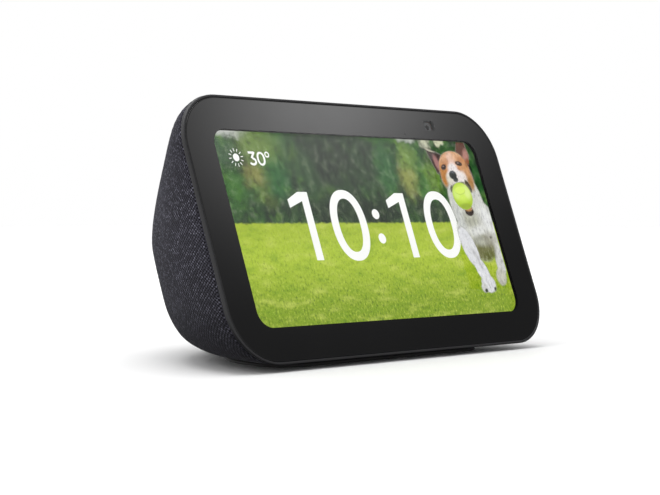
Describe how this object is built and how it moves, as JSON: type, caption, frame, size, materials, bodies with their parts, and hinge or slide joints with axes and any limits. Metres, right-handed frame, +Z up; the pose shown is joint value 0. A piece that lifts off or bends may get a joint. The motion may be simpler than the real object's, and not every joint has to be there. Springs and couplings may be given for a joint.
{
  "type": "smart display",
  "caption": "Countertop smart display with a glass screen that leans back, a rounded fabric body, a rear loudspeaker, top push buttons and a sliding camera shutter.",
  "frame": {"origin": "centre of the footprint, on the surface that the rubber foot rests on", "axes": "+X to the right as seen from the screen, +Y from the screen to the rear, +Z up"},
  "size_m": [0.147, 0.0907, 0.0811],
  "materials": {
    "cover_glass": "clear front glass with a black printed border",
    "screen": "lit liquid-crystal screen",
    "frame_plastic": "fine matte",
    "fabric": "charcoal knitted mesh",
    "shell_plastic": "matte",
    "rubber": "matte",
    "button_plastic": "satin",
    "steel": "stamped sheet",
    "screw_steel": "dark plated",
    "brass": "turned",
    "copper": "enamelled copper wire",
    "circuit_board": "solder mask",
    "chip": "moulded",
    "thermal_pad": "soft silicone",
    "lens_glass": "coated lens",
    "shutter_plastic": "matte",
    "magnet": "ferrite and plated steel",
    "cone_paper": "pressed paper",
    "ribbon": "polyimide film"
  },
  "bodies": {
    "housing": {"antenna_left": "circuit_board", "antenna_right": "circuit_board", "base_cover": "shell_plastic", "base_screw_1": "screw_steel", "base_screw_2": "screw_steel", "base_screw_3": "screw_steel", "base_screw_4": "screw_steel", "bezel_gasket": "rubber", "board_standoff_1": "brass", "board_standoff_2": "brass", "board_standoff_3": "brass", "board_standoff_4": "brass", "button_board": "circuit_board", "camera_lens": "lens_glass", "camera_module": "chip", "display_panel": "screen", "display_ribbon": "ribbon", "enclosure_lid": "shell_plastic", "fabric_cover": "fabric", "front_frame": "frame_plastic", "front_glass": "cover_glass", "jack_pin": "screw_steel", "light_sensor": "chip", "main_board": "circuit_board", "memory_chip": "chip", "microphone_left": "steel", "microphone_right": "steel", "mid_plate": "steel", "mute_switch": "steel", "plate_screw_1": "screw_steel", "plate_screw_2": "screw_steel", "plate_screw_3": "screw_steel", "plate_screw_4": "screw_steel", "port_panel": "shell_plastic", "power_jack": "chip", "processor": "chip", "radio_module": "steel", "rear_shell": "shell_plastic", "rubber_foot": "rubber", "shield_can": "steel", "speaker_basket": "steel", "speaker_enclosure": "shell_plastic", "speaker_magnet": "magnet", "speaker_surround": "rubber", "thermal_pad": "thermal_pad", "volume_down_switch": "steel", "volume_up_switch": "steel"},
    "mute_button": {"mute_button": "button_plastic", "mute_plunger": "chip"},
    "volume_down_button": {"volume_down_button": "button_plastic", "volume_down_plunger": "chip"},
    "volume_up_button": {"volume_up_button": "button_plastic", "volume_up_plunger": "chip"},
    "camera_shutter": {"shutter_slider": "button_plastic", "shutter_blade": "shutter_plastic"},
    "speaker_diaphragm": {"speaker_cone": "cone_paper", "voice_coil": "copper"}
  },
  "joints": [
    {"name": "mute_press", "type": "slide", "parent": "housing", "child": "mute_button", "axis": [0, -0.342, -0.9397], "range_m": [0, 0.0006], "stiffness_N_per_m": 2500},
    {"name": "volume_down_press", "type": "slide", "parent": "housing", "child": "volume_down_button", "axis": [0, -0.342, -0.9397], "range_m": [0, 0.0006], "stiffness_N_per_m": 2500},
    {"name": "volume_up_press", "type": "slide", "parent": "housing", "child": "volume_up_button", "axis": [0, -0.342, -0.9397], "range_m": [0, 0.0006], "stiffness_N_per_m": 2500},
    {"name": "shutter_slide", "type": "slide", "parent": "housing", "child": "camera_shutter", "axis": [-1, 0, 0], "range_m": [0, 0.005]},
    {"name": "diaphragm_stroke", "type": "slide", "parent": "housing", "child": "speaker_diaphragm", "axis": [0, 1, 0], "range_m": [-0.001, 0.001], "stiffness_N_per_m": 1500}
  ]
}
